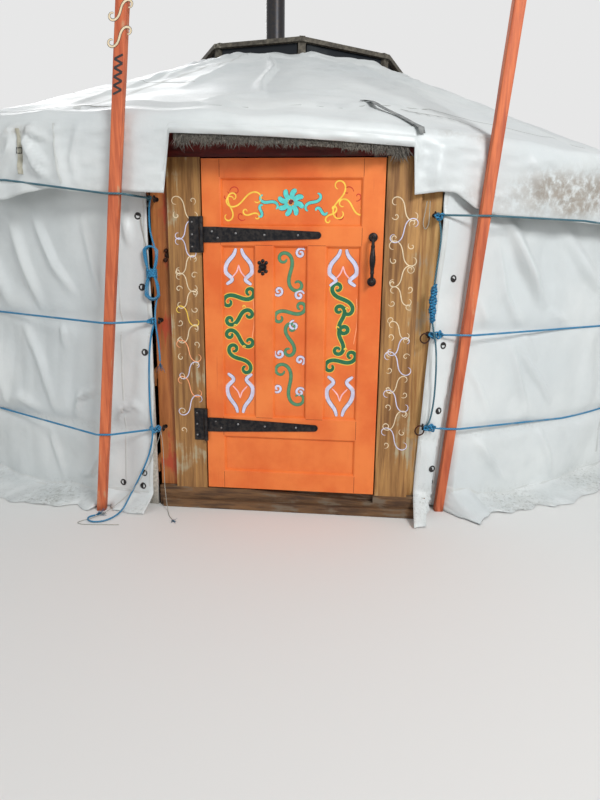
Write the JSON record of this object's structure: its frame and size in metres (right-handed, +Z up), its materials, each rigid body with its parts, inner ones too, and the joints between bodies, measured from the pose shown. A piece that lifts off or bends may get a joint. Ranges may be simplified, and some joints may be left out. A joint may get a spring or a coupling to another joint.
{
  "type": "yurt",
  "caption": "Round felt tent on a lattice wall, with a coated sheet cover, a framed hinged door, an eight-sided crown lantern and a stove flue.",
  "frame": {"origin": "centre of the wall circle at ground level, on the underside of the floor", "axes": "+Z up, the door faces -Y, +X to the right seen from outside the door"},
  "size_m": [5.5843, 5.6124, 3.774],
  "materials": {
    "cord_white": "thin white cord",
    "cover": "coated polyester sheet, satin, dirty at the hems",
    "dark_glass": "tinted panes",
    "felt": "wool felt",
    "floor_wood": "softwood boards",
    "flue_steel": "satin charcoal stove enamel",
    "frame_wood": "worn varnish",
    "grey_wood": "weathered grey timber",
    "ironwork": "black japanned iron",
    "lath_wood": "oiled chestnut laths",
    "old_felt": "weathered shaggy felt",
    "orange_wood": "orange gloss paint over old joinery",
    "plate_steel": "dull stained plate",
    "prop_wood": "faded orange paint",
    "red_wood": "dark red paint",
    "ring_iron": "blackened iron",
    "rope_blue": "laid polypropylene rope",
    "sill_wood": "weathered, mouldy"
  },
  "bodies": {
    "tent": {"floor": "floor_wood", "lattice_front_right": "lath_wood", "lattice_right": "lath_wood", "lattice_back_right": "lath_wood", "lattice_back_left": "lath_wood", "lattice_left": "lath_wood", "lattice_front_left": "lath_wood", "roof_poles": "lath_wood", "crown_ring": "lath_wood", "crown_spokes": "lath_wood", "crown_hub": "lath_wood", "lantern_curb": "grey_wood", "lantern_side_panes": "dark_glass", "lantern_rim": "grey_wood", "lantern_ribs": "grey_wood", "lantern_roof_panes": "dark_glass", "flue_plate": "plate_steel", "flue_pipe": "flue_steel", "flue_cowl": "flue_steel", "wall_felt": "felt", "roof_felt": "felt", "felt_fringe": "old_felt", "wall_cover_left": "cover", "wall_cover_right": "cover", "roof_cover": "cover", "door_sill": "sill_wood", "left_jamb": "frame_wood", "right_jamb": "frame_wood", "left_post": "frame_wood", "right_post": "frame_wood", "door_head": "red_wood", "door_stop": "frame_wood", "upper_hinge_plate": "ironwork", "lower_hinge_plate": "ironwork", "eave_rope": "rope_blue", "middle_rope": "rope_blue", "lower_rope": "rope_blue", "tie_rings": "ring_iron", "left_hank": "rope_blue", "left_hank_cord": "rope_blue", "left_tail_cord": "rope_blue", "right_tail_cord": "rope_blue", "white_cord": "cord_white", "left_prop": "prop_wood", "right_prop": "prop_wood"},
    "door": {"door_leaf": "orange_wood", "door_panels": "orange_wood", "upper_hinge_strap": "ironwork", "lower_hinge_strap": "ironwork", "door_handle": "ironwork", "door_latch": "ironwork"}
  },
  "joints": [
    {"name": "door_hinge", "type": "hinge", "parent": "tent", "child": "door", "pos_m": [-0.39189, -2.62887, 0.838], "axis": [0, 0, -1], "range_deg": [0, 105]}
  ]
}
